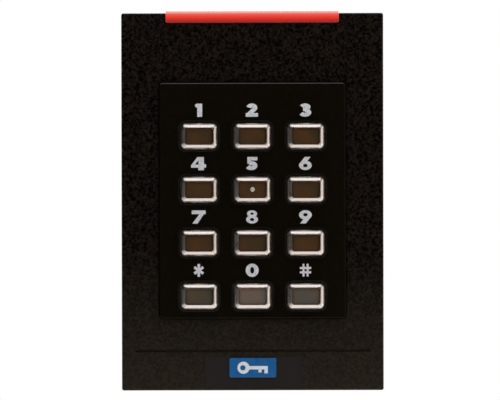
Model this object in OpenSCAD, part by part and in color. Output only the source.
// Keypad access reader: a reader body with twelve sprung keys, hooked onto a
// mounting plate that is screwed to a wall box.
//
// Row frame: X to the right, Z up, the front faces -Y, the wall is Y = 0.
// The modules draw in the wall's own frame, X right, Y up and Z the depth out
// from the wall, and on_wall() stands the drawing up in the row frame.

/* [Front cover] */
// Width of the front cover
cover_w = 84.6; // [82:0.2:88]
// Height of the front cover, without the light bar's lip
cover_h = 121.6; // [121:0.2:126]
// Depth from the wall to the cover's face
face_depth = 24.2; // [24:0.1:25]
// Thickness of the cover's face
face_wall = 2.2; // [1.8:0.1:2.2]
// Thickness of the cover's skirt
skirt_wall = 2; // [1.6:0.1:2]
// Gap between the wall and the skirt's edge
skirt_gap = 0.8; // [0.4:0.1:1.2]
// Radius of the cover's four corners
corner_r = 1; // [0.8:0.1:2]
// Radius of the edge round the face
edge_r = 0.8; // [0.4:0.1:0.9]
// How far each side leans in from the wall to the face
draft = 0.3; // [0.2:0.1:0.5]

/* [Keypad panel] */
// Width of the raised keypad panel
panel_w = 59.8; // [59:0.1:61]
// Height of the raised keypad panel
panel_h = 75.7; // [75:0.1:77]
// Height of the panel's middle above the cover's middle
panel_y = 0.4; // [0:0.1:0.8]
// How far the panel stands out of the cover's face
panel_proud = 1.2; // [0.6:0.1:1.4]
// Thickness of the panel's front wall
panel_wall = 1.8; // [1.6:0.1:1.9]
// Gap round the panel in the cover
panel_gap = 0.2; // [0.1:0.05:0.3]

/* [Keys] */
// Distance between the key columns
column_pitch = 17.1; // [17:0.1:17.4]
// Distance between the key rows
row_pitch = 17.1; // [17:0.05:17.3]
// Height of the lowest row of keys
bottom_row_y = -30.2; // [-30.7:0.1:-30]
// Width of a key
key_w = 11.7; // [11:0.1:12]
// Height of a key
key_h = 8.2; // [8:0.1:8.6]
// Corner radius of a key
key_r = 1.6; // [1.4:0.1:1.8]
// Width of the metal rim round a key's window
rim_w = 1.35; // [1.2:0.05:1.4]
// How far a key stands out of the panel
key_proud = 2.6; // [2.2:0.1:2.6]
// How far a key travels
key_travel = 1.2; // [0.8:0.1:1.2]
// Gap round a key in the panel
key_gap = 0.25; // [0.2:0.05:0.3]

/* [Light bar and badge] */
// Length of the light bar
bar_w = 55.5; // [54:0.1:58]
// Height of the light bar on the face
bar_h = 3.3; // [3:0.1:3.6]
// How far the light bar stands above the cover
bar_lip = 0.4; // [0.2:0.1:0.6]
// Width of the badge
badge_w = 15; // [12:0.1:18]
// Height of the badge
badge_h = 6.2; // [5:0.1:7]

/* [Mounting plate] */
// Thickness of the mounting plate
plate_t = 2.4; // [2:0.1:2.4]
// Distance between the upper and lower slots for a tall wall box
box_pitch = 83.3; // [83:0.1:84]
// Distance between the upper and lower slots for a round wall box
round_box_pitch = 60; // [59.5:0.1:60.5]
// Half the width of a mounting slot
slot_r = 2; // [1.8:0.1:2.2]
// Length of a mounting slot from end to end
slot_length = 7; // [6:0.5:8]
// Distance across the four wall anchor holes
anchor_pitch_x = 60; // [58:1:62]
// Distance up the four wall anchor holes
anchor_pitch_y = 40; // [38:1:42]
// Radius of a wall anchor hole
anchor_r = 2.2; // [2:0.1:2.4]
// Width of the wire opening
wire_w = 26; // [24:1:26]
// Height of the wire opening
wire_h = 40; // [36:1:42]

/* [Hidden] */
$fn = 48;
key_names = ["1", "2", "3", "4", "5", "6", "7", "8", "9", "star", "0", "hash"];

eps = 0.5;               // how far a cutter runs past what it cuts
fit_gap = 0.05;          // gap where two pieces of the assembly rest on each other
inner_r = 0.6;           // corner radius of pockets and of what lies in them
columns = 3;
rows = 4;

// Depths from the wall, back to front
plate_gap = 0.6;         // gap between the mounting plate and the rear housing
back_depth = plate_t + plate_gap;
back_wall = 1.8;
board_t = 1.6;
main_depth = 11;
main_front = main_depth + board_t;
face_back = face_depth - face_wall;
panel_front = face_depth + panel_proud;
panel_back = panel_front - panel_wall;
key_front = panel_front + key_proud;
flange_t = 0.8;
flange_front = panel_back - 0.1;
flange_back = flange_front - flange_t;
foot_t = 0.4;
foot_back = flange_back - fit_gap - foot_t;
mat_t = 1;
mat_back = 18.8;
mat_front = mat_back + mat_t;
dome_front = foot_back - fit_gap;
keypad_board_back = mat_back - board_t;

// Front cover
cavity_w = cover_w - 2 * skirt_wall;
cavity_h = cover_h - 2 * skirt_wall;
cavity_top = cavity_h / 2;
cavity_r = 0.5;
groove_y = -47.8;
groove_w = 0.5;
groove_depth = 0.5;
groove_l = 75.4;
label_w = 30.8;
label_h = 10.2;
label_y = -54.7;
label_t = 0.15;
badge_y = -53.2;
badge_t = 0.4;
badge_r = 0.5;
post_x = 34.7;
post_y = 53.5;
post_r = 3.2;
post_end = 7.05;
pilot_end = 17;
housing_screw_r = 1.45;
housing_screw_l = 10.4;

// Keypad panel
pocket_wall = 1.2;
panel_corner_r = 1.2;
panel_edge_r = 0.6;
panel_flange = 2;
panel_flange_back = 20.8;
boss_x = 26.9;
boss_ys = [34, 3.8, -33.2];
boss_r = 2.2;
boss_hole = 4;
keypad_screw_r = 0.95;
keypad_screw_l = 5;
stake_x = 24;
stake_y = 41.6;
stake_r = 1;
stake_head_r = 1.7;
stake_head_t = 0.6;
tab_w = 8;
tab_h = 5;

// Keys
flange_lip = 0.9;
roll_w = 1.05;           // the rim's crown rolls outwards over this width
roll_h = 0.9;            // and falls by this much
inner_ease = 0.15;
window_drop = 0.7;
window_ease = 0.25;
window_gap = 0.03;
window_lip = 0.6;
pip_r = 0.65;

// Keypad mat and board: a pressed key's pill just meets its contact pad
dome_base_r = 2.6;
dome_top_r = 2;
dome_hollow_r = 1.7;
dome_hollow_h = 2.2;
pad_t = 0.1;
pad_r = 1.4;
pill_r = 1.2;
pill_back = mat_back + pad_t + key_travel;
pill_front = mat_back + dome_hollow_h + 0.4;
led_x = 4;
led_size = [1.6, 0.8, 0.7];
led_slot = [2.2, 1.8];
mat_gap = 0.4;
board_gap = 0.3;
connector_y = -20;
connector_w = 22;
connector_h = 6;
plug_t = 1.1;
pin_w = 19;
pin_h = 2.4;
pin_room = 0.1;

// Light bar
bar_notch_back = 19.5;
bar_proud = 0.4;
bar_fit = 0.15;
bar_round_r = 0.8;
bar_heel_ease = 0.3;
bar_foot_ease = 0.2;
bar_web_w = 53;
bar_web_t = 2;
bar_web_back = 14.2;
bar_web_y = cavity_top - 1.45;
bar_heel_t = 1.2;
bar_bottom = cover_h / 2 - bar_h;
bar_leds = 5;
bar_led_pitch = 11;
bar_led_size = [3.2, 1.6, 1.1];

// Mounting plate, hooks and screw tab
plate_w = cavity_w - 0.6;
plate_h = cavity_h - 0.6;
plate_r = 1.2;
wire_r = 2;
hook_x = 24;
hook_w = 8;
hook_y = 49.6;
hook_t = 1.6;
hook_lip = 2.2;
hook_front = 6.5;
tab_top = -50.4;
screw_tab_w = 9;
screw_tab_front = 10.9;
security_depth = 6.8;
security_r = 1.7;
security_l = 8.6;
security_head_r = 3.2;
security_head_h = 1.5;
security_hex_r = 1.25;
security_hex_depth = 1.2;
insert_r = 2.6;
insert_l = 6;

// Rear housing
housing_rim = 1.6;
rim_front = 9;
seal_depth = 6.4;
seal_w = 1.4;
seal_t = 0.7;
seal_gap = 0.02;
well_w = 30;
well_h = 38;
well_wall = 1.2;
standoff_x = 30;
standoff_y = 38;
standoff_r = 2.8;
board_screw_r = 1.1;
board_screw_l = 6;
head_room = 2.8;         // depth left for the heads of the wall screws
head_r = 5;
head_cap = 1.2;
post_seat_r = 3.8;
screw_head_r = 3.1;
screw_head_depth = 2.3;
tamper_x = 24;
tamper_w = 3.6;
tamper_hole_r = 2;

// Main board and what stands on it
main_board_w = cavity_w - 4.4;
main_board_h = cavity_h - 1;
coil_w = 72.4;
coil_h = 86.4;
coil_r = 3;
coil_band = 2.7;
coil_t = 1.4;
processor_y = 12;
processor_size = [12, 12, 1.4];
radio_place = [-18, 8];
radio_size = [6, 6, 0.9];
crystal_place = [-18, 20];
crystal_size = [10.8, 4.6, 3.4];
capacitor_place = [21, -50];
capacitor_r = 3.15;
capacitor_l = 6.5;
beeper_place = [-21, -50];
beeper_r = 5.5;
beeper_hole_r = 1;
beeper_t = 5.5;

// Terminal blocks
pole_pitch = 3.5;
poles = 7;
terminal_l = poles * pole_pitch + 0.7;
terminal_h = 7.5;
terminal_y = 12.25;
terminal_back = 3.2;
terminal_screw_r = 1.2;
terminal_screw_depth = 2.6;
terminal_mouth = 2.4;

black = "#1b1917";
panel_black = "#0f0e0d";
board_green = "#1f5a35";
led_white = "#f4efe2";
steel = "#b9b9b6";
gold = "#c9a24b";
chip_black = "#222224";

// ---------------------------------------------------------------- outlines

function corner_arc(cx, cy, r, start, steps) =
    [for (i = [0:steps]) let (a = start + 90 * i / steps) [cx + r * cos(a), cy + r * sin(a)]];

function rounded_outline(w, h, r, steps = 5) = concat(
    corner_arc(w / 2 - r, h / 2 - r, r, 0, steps),
    corner_arc(r - w / 2, h / 2 - r, r, 90, steps),
    corner_arc(r - w / 2, r - h / 2, r, 180, steps),
    corner_arc(w / 2 - r, r - h / 2, r, 270, steps));

// The same outline drawn in by `inset` all round, with the same number of points
function drawn_in(w, h, r, inset) =
    rounded_outline(w - 2 * inset, h - 2 * inset, max(r - inset, 0.3));

function key_place(i) = [
    (i % columns - 1) * column_pitch,
    bottom_row_y + (rows - 1 - floor(i / columns)) * row_pitch];

// ------------------------------------------------------------ shared shapes

module on_wall() {
    rotate([90, 0, 0]) children();
}

// Rounded slab between two depths
module slab(w, h, r, back, front) {
    translate([0, 0, back])
        linear_extrude(front - back) polygon(rounded_outline(w, h, r));
}

// Square-cornered block with its middle at x, y, between two depths
module block(x, y, w, h, back, front) {
    translate([x - w / 2, y - h / 2, back]) cube([w, h, front - back]);
}

// Round bar along the depth
module rod(x, y, r, back, front) {
    translate([x, y, back]) cylinder(h = front - back, r = r);
}

// Slot with round ends, upright, through a plate
module upright_slot(x, y, r, length, back, front) {
    reach = length / 2 - r;
    rod(x, y - reach, r, back, front);
    rod(x, y + reach, r, back, front);
    block(x, y, 2 * r, 2 * reach, back, front);
}

// Solid through a stack of outlines with equal counts, each [outline, depth].
// A closed stack joins its last outline to its first and makes a ring.
module lofted(stack, closed = false) {
    n = len(stack[0][0]);
    m = len(stack);
    points = [for (s = stack) for (p = s[0]) [p[0], p[1], s[1]]];
    sides = [for (k = [0:(closed ? m - 1 : m - 2)]) for (i = [0:n - 1])
        let (j = (i + 1) % n, l = (k + 1) % m)
        [k * n + i, l * n + i, l * n + j, k * n + j]];
    bottom = [for (i = [0:n - 1]) i];
    top = [for (i = [n - 1:-1:0]) (m - 1) * n + i];
    polyhedron(points, closed ? sides : concat([bottom, top], sides));
}

// Slab whose sides lean in by `lean` and whose front edge is rounded by a quarter circle
module pillowed_slab(w, h, r, edge, back, front, lean = 0) {
    steps = 5;
    lofted(concat(
        [[drawn_in(w, h, r, 0), back]],
        [for (i = [0:steps]) let (a = 90 * i / steps)
            [drawn_in(w, h, r, lean + edge * (1 - cos(a))), front - edge * (1 - sin(a))]]));
}

// Pan-head screw along the depth; `dir` is 1 where its head is at the front
module pan_screw(x, y, r, seat, length, dir) {
    head_h = 1.2 * r;
    translate([x, y, seat]) mirror([0, 0, dir > 0 ? 0 : 1]) {
        difference() {
            union() {
                cylinder(h = head_h, r = 2 * r);
                translate([0, 0, -length]) cylinder(h = length + 0.2, r = r);
            }
            translate([-0.2 * r, -1.3 * r, 0.6 * head_h]) cube([0.4 * r, 2.6 * r, head_h]);
            translate([-1.3 * r, -0.2 * r, 0.6 * head_h]) cube([2.6 * r, 0.4 * r, head_h]);
        }
    }
}

// ------------------------------------------------------- mounting and screws

module hook(x) {
    block(x, hook_y + hook_t / 2, hook_w, hook_t, plate_t - eps, hook_front);
    block(x, hook_y + (hook_t + hook_lip) / 2, hook_w, hook_t + hook_lip,
          back_depth + back_wall + 0.15, hook_front);
}

module mounting_plate() {
    tab_bottom = -plate_h / 2 + 0.1;
    color(black) on_wall() difference() {
        union() {
            slab(plate_w, plate_h, plate_r, 0, plate_t);
            hook(-hook_x);
            hook(hook_x);
            block(0, (tab_top + tab_bottom) / 2, screw_tab_w, tab_top - tab_bottom, plate_t - eps,
                  screw_tab_front);
        }
        slab(wire_w, wire_h, wire_r, -eps, plate_t + eps);
        for (side = [-1, 1]) {
            upright_slot(0, side * box_pitch / 2, slot_r, slot_length, -eps, plate_t + eps);
            upright_slot(0, side * round_box_pitch / 2, slot_r, slot_length, -eps, plate_t + eps);
            for (end = [-1, 1])
                rod(side * anchor_pitch_x / 2, end * anchor_pitch_y / 2, anchor_r, -eps, plate_t + eps);
        }
        translate([0, tab_bottom - eps, security_depth])
            rotate([-90, 0, 0]) cylinder(h = insert_l + 1 + eps, r = insert_r);
    }
}

module screw_insert() {
    color(gold) on_wall() translate([0, 0.4 - plate_h / 2, security_depth])
        rotate([-90, 0, 0]) difference() {
            cylinder(h = insert_l, r = insert_r);
            translate([0, 0, -eps]) cylinder(h = insert_l + 2 * eps, r = security_r + 0.02);
        }
}

module security_screw() {
    color(steel) on_wall() translate([0, fit_gap - cover_h / 2, security_depth])
        rotate([-90, 0, 0]) difference() {
            union() {
                cylinder(h = security_head_h, r1 = security_head_r - 0.1, r2 = security_r);
                cylinder(h = security_l, r = security_r);
            }
            translate([0, 0, -eps]) cylinder(h = eps + security_hex_depth, r = security_hex_r, $fn = 6);
        }
}

// ---------------------------------------------------------------- the cover

module cover_shell() {
    difference() {
        pillowed_slab(cover_w, cover_h, corner_r, edge_r, skirt_gap, face_depth, draft);
        slab(cavity_w, cavity_h, cavity_r, skirt_gap - eps, face_back);
    }
}

// The stakes that hold the panel's tabs, with their formed heads
module panel_stakes() {
    head_front = panel_flange_back - fit_gap;
    for (x = [-stake_x, stake_x]) for (y = [-stake_y, stake_y]) {
        rod(x, panel_y + y, stake_r, head_front - stake_head_t / 2, face_back + eps);
        rod(x, panel_y + y, stake_head_r, head_front - stake_head_t, head_front);
    }
}

module front_cover() {
    notch_bottom = bar_bottom - bar_fit;
    notch_top = cover_h / 2 + 1;
    color(black) on_wall() difference() {
        union() {
            cover_shell();
            for (x = [-post_x, post_x]) for (y = [-post_y, post_y])
                rod(x, y, post_r, post_end, face_back + eps);
            panel_stakes();
        }
        translate([0, panel_y, 0])
            slab(panel_w + 2 * panel_gap, panel_h + 2 * panel_gap, panel_corner_r + panel_gap,
                 face_back - eps, face_depth + eps);
        block(0, (notch_bottom + notch_top) / 2, bar_w + 2 * bar_fit, notch_top - notch_bottom,
              bar_notch_back, face_depth + eps);
        block(0, groove_y, groove_l, groove_w, face_depth - groove_depth, face_depth + eps);
        block(0, label_y, label_w + 2 * fit_gap, label_h + 2 * fit_gap, face_depth - label_t,
              face_depth + eps);
        for (x = [-post_x, post_x]) for (y = [-post_y, post_y])
            rod(x, y, housing_screw_r, post_end - eps, pilot_end);
        translate([0, -cover_h / 2 - eps, security_depth]) rotate([-90, 0, 0])
            cylinder(h = skirt_wall + 2 * eps, r = security_r + 0.2);
        translate([0, -cover_h / 2, security_depth]) rotate([-90, 0, 0])
            cylinder(h = security_head_h, r1 = security_head_r, r2 = security_r + 0.1);
    }
}

module light_bar() {
    back = bar_notch_back + bar_fit;
    front = face_depth + bar_proud;
    top = cover_h / 2 + bar_lip;
    section = concat(
        [[bar_bottom, back], [top - bar_heel_ease, back], [top, back + bar_heel_ease]],
        corner_arc(top - bar_round_r, front - bar_round_r, bar_round_r, 0, 6),
        [[bar_bottom + bar_foot_ease, front], [bar_bottom, front - bar_foot_ease]]);
    color("#d0281c") on_wall() {
        translate([-bar_w / 2, 0, 0]) rotate([90, 0, 90]) linear_extrude(bar_w) polygon(section);
        block(0, bar_web_y, bar_web_w, bar_web_t, bar_web_back, face_back - fit_gap);
        block(0, bar_web_y - bar_web_t / 2, bar_web_w, bar_web_t, face_back - bar_heel_t,
              face_back - fit_gap);
    }
}

module light_bar_leds() {
    color(led_white) on_wall() for (i = [0:bar_leds - 1])
        block((i - (bar_leds - 1) / 2) * bar_led_pitch, bar_web_y, bar_led_size[0], bar_led_size[1],
              main_front, main_front + bar_led_size[2]);
}

module badge_label() {
    color("#24201f") on_wall()
        block(0, label_y, label_w, label_h, face_depth - label_t, face_depth);
}

module badge() {
    color("#11539d") on_wall() translate([0, badge_y, 0])
        slab(badge_w, badge_h, badge_r, face_depth, face_depth + badge_t);
}

// --------------------------------------------------------------- the keypad

module panel_tab(x, y) {
    block(x, y, tab_w, tab_h, panel_flange_back, face_back - fit_gap);
}

module keypad_panel() {
    color(panel_black) on_wall() difference() {
        union() {
            translate([0, panel_y, 0]) {
                pillowed_slab(panel_w, panel_h, panel_corner_r, panel_edge_r, mat_back, panel_front);
                slab(panel_w + 2 * panel_flange, panel_h + 2 * panel_flange, panel_corner_r,
                     panel_flange_back, face_back - fit_gap);
                for (x = [-stake_x, stake_x]) for (y = [-stake_y, stake_y]) panel_tab(x, y);
            }
        }
        difference() {
            translate([0, panel_y, 0])
                slab(panel_w - 2 * pocket_wall, panel_h - 2 * pocket_wall, inner_r, mat_back - eps,
                     panel_back);
            for (x = [-boss_x, boss_x]) for (y = boss_ys)
                rod(x, y, boss_r, mat_back - 2 * eps, panel_back + eps);
        }
        for (i = [0:rows * columns - 1])
            translate(concat(key_place(i), 0))
                slab(key_w + 2 * key_gap, key_h + 2 * key_gap, key_r + key_gap, panel_back - eps,
                     panel_front + eps);
        for (x = [-boss_x, boss_x]) for (y = boss_ys)
            rod(x, y, keypad_screw_r + 0.03, mat_back - eps, mat_back + boss_hole);
        for (x = [-stake_x, stake_x]) for (y = [-stake_y, stake_y])
            rod(x, panel_y + y, stake_r + 0.1, panel_flange_back - eps, face_back + eps);
    }
}

// Ring drawn as one closed profile of [inset, depth] swept round the key
module key_frame(i) {
    crown = [for (k = [0:4]) let (a = 90 * k / 4)
        [roll_w * (1 - cos(a)), key_front - roll_h * (1 - sin(a))]];
    profile = concat(
        [[-flange_lip, flange_back], [-flange_lip, flange_front], [0, flange_front]],
        crown,
        [[rim_w - inner_ease, key_front], [rim_w, key_front - inner_ease], [rim_w, flange_back]]);
    color(steel) on_wall() translate(concat(key_place(i), 0))
        lofted([for (p = profile) [drawn_in(key_w, key_h, key_r, p[0]), p[1]]], closed = true);
}

module key_window(i) {
    w = key_w - 2 * (rim_w + window_gap);
    h = key_h - 2 * (rim_w + window_gap);
    r = key_r - rim_w;
    top = key_front - window_drop;
    color("#4a3c30") on_wall() translate(concat(key_place(i), 0)) {
        slab(w + 2 * window_lip, h + 2 * window_lip, inner_r, foot_back, foot_back + foot_t);
        lofted([[drawn_in(w, h, r, 0), foot_back + foot_t / 2], [drawn_in(w, h, r, 0), top - window_ease],
                [drawn_in(w, h, r, window_ease), top]]);
        if (key_names[i] == "5")
            intersection() {
                translate([0, 0, top]) sphere(r = pip_r);
                block(0, 0, 2 * pip_r, 2 * pip_r, top - pip_r / 3, key_front);
            }
    }
}

// The hollow dome under a key, with the pill inside it that closes the contact
module dome() {
    root = mat_t / 5;
    difference() {
        translate([0, 0, mat_front - root])
            cylinder(h = dome_front - mat_front + root, r1 = dome_base_r, r2 = dome_top_r);
        translate([0, 0, mat_back - eps]) cylinder(h = dome_hollow_h + eps, r = dome_hollow_r);
    }
    rod(0, 0, pill_r, pill_back, pill_front);
}

module keypad_mat() {
    color("#c9c6bd") on_wall() {
        difference() {
            translate([0, panel_y, 0])
                slab(panel_w - 2 * (pocket_wall + mat_gap), panel_h - 2 * (pocket_wall + mat_gap),
                     inner_r, mat_back, mat_front);
            for (x = [-boss_x, boss_x]) for (y = boss_ys)
                rod(x, y, boss_r + mat_gap, mat_back - eps, mat_front + eps);
            for (i = [0:rows * columns - 1]) translate(concat(key_place(i), 0)) {
                translate([0, 0, mat_back - eps]) cylinder(h = mat_t + 2 * eps, r = dome_hollow_r);
                block(led_x, 0, led_slot[0], led_slot[1], mat_back - eps, mat_front + eps);
            }
        }
        for (i = [0:rows * columns - 1]) translate(concat(key_place(i), 0)) dome();
    }
}

module keypad_board() {
    color(board_green) on_wall() difference() {
        translate([0, panel_y, 0])
            slab(panel_w - 2 * board_gap, panel_h - 2 * board_gap, inner_r, keypad_board_back, mat_back);
        for (x = [-boss_x, boss_x]) for (y = boss_ys)
            rod(x, y, keypad_screw_r + 0.2, keypad_board_back - eps, mat_back + eps);
    }
}

module keypad_screws() {
    color(steel) on_wall() for (x = [-boss_x, boss_x]) for (y = boss_ys)
        pan_screw(x, y, keypad_screw_r, keypad_board_back, keypad_screw_l, -1);
}

module contact_pads() {
    color(gold) on_wall() for (i = [0:rows * columns - 1])
        translate(concat(key_place(i), mat_back)) cylinder(h = pad_t, r = pad_r);
}

module backlight_leds() {
    color(led_white) on_wall() for (i = [0:rows * columns - 1])
        translate(concat(key_place(i), 0))
            block(led_x, 0, led_size[0], led_size[1], mat_back, mat_back + led_size[2]);
}

module keypad_plug() {
    color(chip_black) on_wall() {
        block(0, connector_y, connector_w, connector_h, keypad_board_back - plug_t, keypad_board_back);
        block(0, connector_y, pin_w, pin_h, main_front + 2, keypad_board_back - plug_t / 2);
    }
}

module keypad_socket() {
    front = keypad_board_back - plug_t - fit_gap;
    color("#e8e4d6") on_wall() difference() {
        block(0, connector_y, connector_w, connector_h, main_front, front);
        block(0, connector_y, pin_w + 2 * pin_room, pin_h + 2 * pin_room, main_front + 1.8, front + eps);
    }
}

// ---------------------------------------------------------- the electronics

module main_board() {
    tab_room = 2 * (main_board_h / 2 + tab_top + 2.4);
    color(board_green) on_wall() difference() {
        slab(main_board_w, main_board_h, inner_r, main_depth, main_front);
        for (x = [-post_x, post_x]) for (y = [-post_y, post_y])
            rod(x, y, post_r + 1, main_depth - eps, main_front + eps);
        block(0, -main_board_h / 2, 1.6 * screw_tab_w, tab_room, main_depth - eps, main_front + eps);
        for (x = [-standoff_x, standoff_x]) for (y = [-standoff_y, standoff_y])
            rod(x, y, board_screw_r + 0.2, main_depth - eps, main_front + eps);
    }
}

module board_screws() {
    color(steel) on_wall() for (x = [-standoff_x, standoff_x]) for (y = [-standoff_y, standoff_y])
        pan_screw(x, y, board_screw_r, main_front, board_screw_l, 1);
}

module antenna_coil() {
    color("#b5673a") on_wall() difference() {
        slab(coil_w, coil_h, coil_r, main_front, main_front + coil_t);
        slab(coil_w - 2 * coil_band, coil_h - 2 * coil_band, coil_r / 2, main_front - eps,
             main_front + coil_t + eps);
    }
}

module processor_chip() {
    color(chip_black) on_wall()
        block(0, processor_y, processor_size[0], processor_size[1], main_front,
              main_front + processor_size[2]);
}

module radio_chip() {
    color(chip_black) on_wall()
        block(radio_place[0], radio_place[1], radio_size[0], radio_size[1], main_front,
              main_front + radio_size[2]);
}

module crystal() {
    color(steel) on_wall() translate(crystal_place)
        slab(crystal_size[0], crystal_size[1], 0.48 * crystal_size[1], main_front,
             main_front + crystal_size[2]);
}

module power_capacitor() {
    color("#2b3640") on_wall() translate(capacitor_place)
        rod(0, 0, capacitor_r, main_front, main_front + capacitor_l);
}

module beeper() {
    front = main_front + beeper_t;
    color(chip_black) on_wall() translate(beeper_place) difference() {
        rod(0, 0, beeper_r, main_front, front);
        rod(0, 0, beeper_hole_r, front - 1, front + eps);
    }
}

module tamper_sensor() {
    color(chip_black) on_wall()
        block(tamper_x, 0, tamper_w, tamper_w, back_depth + back_wall + 0.8, main_depth);
}

module terminal_block(side) {
    color("#2f6d3f") on_wall() difference() {
        block(0, side * terminal_y, terminal_l, terminal_h, terminal_back, main_depth);
        for (p = [0:poles - 1]) let (x = (p - (poles - 1) / 2) * pole_pitch) {
            rod(x, side * terminal_y, terminal_screw_r + 0.1, terminal_back - eps,
                terminal_back + terminal_screw_depth);
            block(x, side * (terminal_y - terminal_h / 2), terminal_mouth, terminal_h,
                  terminal_back + terminal_screw_depth + 0.8, main_depth - 1.2);
        }
    }
}

module terminal_block_upper() {
    terminal_block(1);
}

module terminal_block_lower() {
    terminal_block(-1);
}

module terminal_screws() {
    color(steel) on_wall() for (side = [-1, 1]) for (p = [0:poles - 1])
        let (x = (p - (poles - 1) / 2) * pole_pitch) difference() {
            rod(x, side * terminal_y, terminal_screw_r, terminal_back + 0.8,
                terminal_back + terminal_screw_depth);
            block(x, side * terminal_y, 2 * terminal_screw_r + 1, 0.5, terminal_back, terminal_back + 1.4);
        }
}

// --------------------------------------------------------- the rear housing

// Room in the back wall for the heads of the wall screws, and the caps over it
module head_recesses(grow, back, depth) {
    middle = (box_pitch + round_box_pitch) / 4;
    length = (box_pitch - round_box_pitch) / 2 + slot_length + 6;
    for (side = [-1, 1]) {
        translate([0, side * middle, 0])
            slab(2 * head_r + 1 + 2 * grow, length + 2 * grow, wire_r + grow, back, depth + grow);
        for (end = [-1, 1])
            rod(side * anchor_pitch_x / 2, end * anchor_pitch_y / 2, head_r + grow, back, depth + grow);
    }
}

// The pocket that the plate's screw tab goes into
module tab_pocket(grow, back, front, bottom = -plate_h / 2 - eps) {
    top = tab_top + 0.6 + grow;
    block(0, (top + bottom) / 2, screw_tab_w + 1.4 + 2 * grow, top - bottom, back, front);
}

module rear_housing() {
    recess_depth = plate_t + head_room;
    root = back_depth + 0.4;
    color(black) on_wall() difference() {
        union() {
            difference() {
                slab(plate_w, plate_h, plate_r, back_depth, rim_front);
                slab(plate_w - 2 * housing_rim, plate_h - 2 * housing_rim, cavity_r,
                     back_depth + back_wall, rim_front + eps);
            }
            slab(well_w + 2 * well_wall, well_h + 2 * well_wall, plate_r, root, main_depth - 0.1);
            head_recesses(head_cap, root, recess_depth);
            tab_pocket(head_cap, back_depth, screw_tab_front + head_cap, -plate_h / 2);
            for (x = [-standoff_x, standoff_x]) for (y = [-standoff_y, standoff_y])
                rod(x, y, standoff_r, root, main_depth);
            for (x = [-post_x, post_x]) for (y = [-post_y, post_y])
                rod(x, y, post_seat_r, root, post_end - fit_gap);
        }
        slab(well_w, well_h, inner_r, back_depth - eps, main_depth + eps);
        head_recesses(0, back_depth - eps, recess_depth);
        tab_pocket(0, back_depth - eps, screw_tab_front + 0.3);
        for (side = [-1, 1])
            block(side * hook_x, hook_y - 0.35, hook_w + 1, 2 * hook_t + 0.8, back_depth - eps,
                  back_depth + back_wall + eps);
        for (x = [-standoff_x, standoff_x]) for (y = [-standoff_y, standoff_y])
            rod(x, y, board_screw_r + 0.02, main_depth - board_screw_l - 0.5, main_depth + eps);
        for (x = [-post_x, post_x]) for (y = [-post_y, post_y]) {
            rod(x, y, screw_head_r, back_depth - eps, back_depth + screw_head_depth);
            rod(x, y, housing_screw_r + 0.2, back_depth, post_end + eps);
        }
        rod(tamper_x, 0, tamper_hole_r, back_depth - eps, back_depth + back_wall + eps);
        difference() {
            slab(plate_w + 2, plate_h + 2, plate_r, seal_depth - seal_w / 2, seal_depth + seal_w / 2);
            slab(plate_w - 2 * seal_t, plate_h - 2 * seal_t, inner_r, 0, face_depth);
        }
    }
}

module housing_seal() {
    back = seal_depth - seal_w / 2 + fit_gap;
    front = seal_depth + seal_w / 2 - fit_gap;
    color("#3a3a3a") on_wall() difference() {
        slab(cavity_w - 2 * seal_gap, cavity_h - 2 * seal_gap, cavity_r, back, front);
        slab(plate_w - 2 * (seal_t - seal_gap), plate_h - 2 * (seal_t - seal_gap), inner_r, 0, face_depth);
        tab_pocket(0.2, 0, face_depth);
    }
}

module housing_screws() {
    color(steel) on_wall() for (x = [-post_x, post_x]) for (y = [-post_y, post_y])
        pan_screw(x, y, housing_screw_r - 0.02, back_depth + screw_head_depth, housing_screw_l, -1);
}

// ---------------------------------------------------------------- the nodes

mounting_plate();
screw_insert();
security_screw();
front_cover();
light_bar();
light_bar_leds();
keypad_panel();
for (i = [0:len(key_names) - 1]) {
    key_frame(i);
    key_window(i);
}
keypad_mat();
keypad_board();
keypad_screws();
contact_pads();
backlight_leds();
keypad_plug();
keypad_socket();
main_board();
board_screws();
antenna_coil();
processor_chip();
radio_chip();
crystal();
power_capacitor();
beeper();
tamper_sensor();
terminal_block_upper();
terminal_block_lower();
terminal_screws();
rear_housing();
housing_seal();
housing_screws();
badge_label();
badge();
